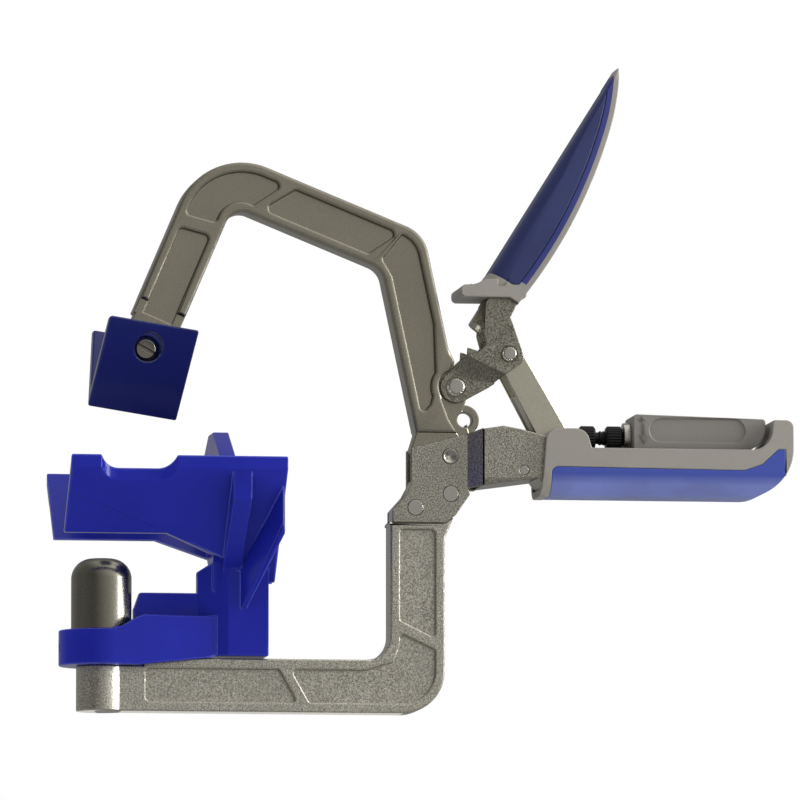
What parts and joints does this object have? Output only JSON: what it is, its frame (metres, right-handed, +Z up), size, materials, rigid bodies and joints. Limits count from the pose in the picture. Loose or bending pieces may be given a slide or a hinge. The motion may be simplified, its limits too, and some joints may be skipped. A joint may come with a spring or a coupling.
{
  "type": "corner clamp",
  "caption": "Hand clamp for right-angled corners: a V block on the fixed jaw, a swivelling V pad on the moving jaw, and a self-locking toggle lever with an adjusting screw.",
  "frame": {"origin": "on the post's axis, level with the underside of the fixed jaw, in the middle of the thickness", "axes": "+X along the handle away from the jaws, +Y through the thickness, +Z up from the fixed jaw to the moving jaw"},
  "size_m": [0.3234, 0.1, 0.2866],
  "materials": {
    "cast": "satin nickel-plated casting",
    "stamped": "nickel-plated stamping, blasted",
    "bright": "turned and plated",
    "spring": "drawn wire",
    "blue_paint": "gloss powder coat",
    "blue_insert": "satin soft moulding",
    "grey_moulding": "satin moulding",
    "black": "black oxide"
  },
  "bodies": {
    "frame": {"lower_jaw": "cast", "corner_post": "cast", "corner_block": "blue_paint", "set_screw": "black", "handle_channel": "stamped", "frame_rivets": "bright", "main_pivot_pin": "bright", "handle_grip": "grey_moulding", "handle_grip_inlay": "blue_insert", "adjuster_cover": "grey_moulding", "cover_pins": "bright", "adjuster_collar": "bright", "spring_anchor": "bright", "return_spring": "spring"},
    "upper_jaw": {"upper_jaw": "cast"},
    "pad": {"pad": "blue_paint", "pad_screw": "bright", "pad_nut": "bright"},
    "lever": {"lever": "stamped", "lever_grip": "grey_moulding", "lever_grip_inlay": "blue_insert", "lever_rivet": "bright", "link_rivet": "bright"},
    "link": {"toggle_link": "stamped", "foot_pin": "bright"},
    "slide_block": {"slide_block": "bright"},
    "adjust_screw": {"adjust_screw": "black", "thumb_wheel": "black"},
    "lock_wheel": {"lock_wheel": "black"}
  },
  "joints": [
    {"name": "jaw_pivot", "type": "hinge", "parent": "frame", "child": "upper_jaw", "pos_m": [0.1531, 0, 0.1133], "axis": [0, -1, 0], "range_deg": [0, 21], "stiffness_Nm_per_rad": 2, "springref_deg": -51.57, "deforming": ["return_spring"]},
    {"name": "lever_pivot", "type": "hinge", "parent": "upper_jaw", "child": "lever", "pos_m": [0.156, 0, 0.1441], "axis": [0, -1, 0], "range_deg": [-79, 0]},
    {"name": "link_pivot", "type": "hinge", "parent": "lever", "child": "link", "pos_m": [0.179, 0, 0.1585], "axis": [0, -1, 0], "range_deg": [0, 95]},
    {"name": "block_pivot", "type": "hinge", "parent": "link", "child": "slide_block", "pos_m": [0.207, 0, 0.108], "axis": [0, -1, 0], "range_deg": [-37.5, 0]},
    {"name": "pad_swivel", "type": "hinge", "parent": "upper_jaw", "child": "pad", "pos_m": [0.01755, 0, 0.15799], "axis": [0, -1, 0], "range_deg": [-14, 14]},
    {"name": "thumb_turn", "type": "hinge", "parent": "frame", "child": "adjust_screw", "pos_m": [0.2151, 0, 0.1228], "axis": [1, 0, 0], "range_deg": [-360, 360]},
    {"name": "lock_turn", "type": "hinge", "parent": "frame", "child": "lock_wheel", "pos_m": [0.227, 0, 0.1228], "axis": [1, 0, 0], "range_deg": [-180, 180]}
  ],
  "couplings": [
    {"joint": "lever_pivot", "follows": "jaw_pivot", "ratio": -3.7381},
    {"joint": "link_pivot", "follows": "jaw_pivot", "ratio": 4.5},
    {"joint": "block_pivot", "follows": "jaw_pivot", "ratio": -1.7619}
  ]
}
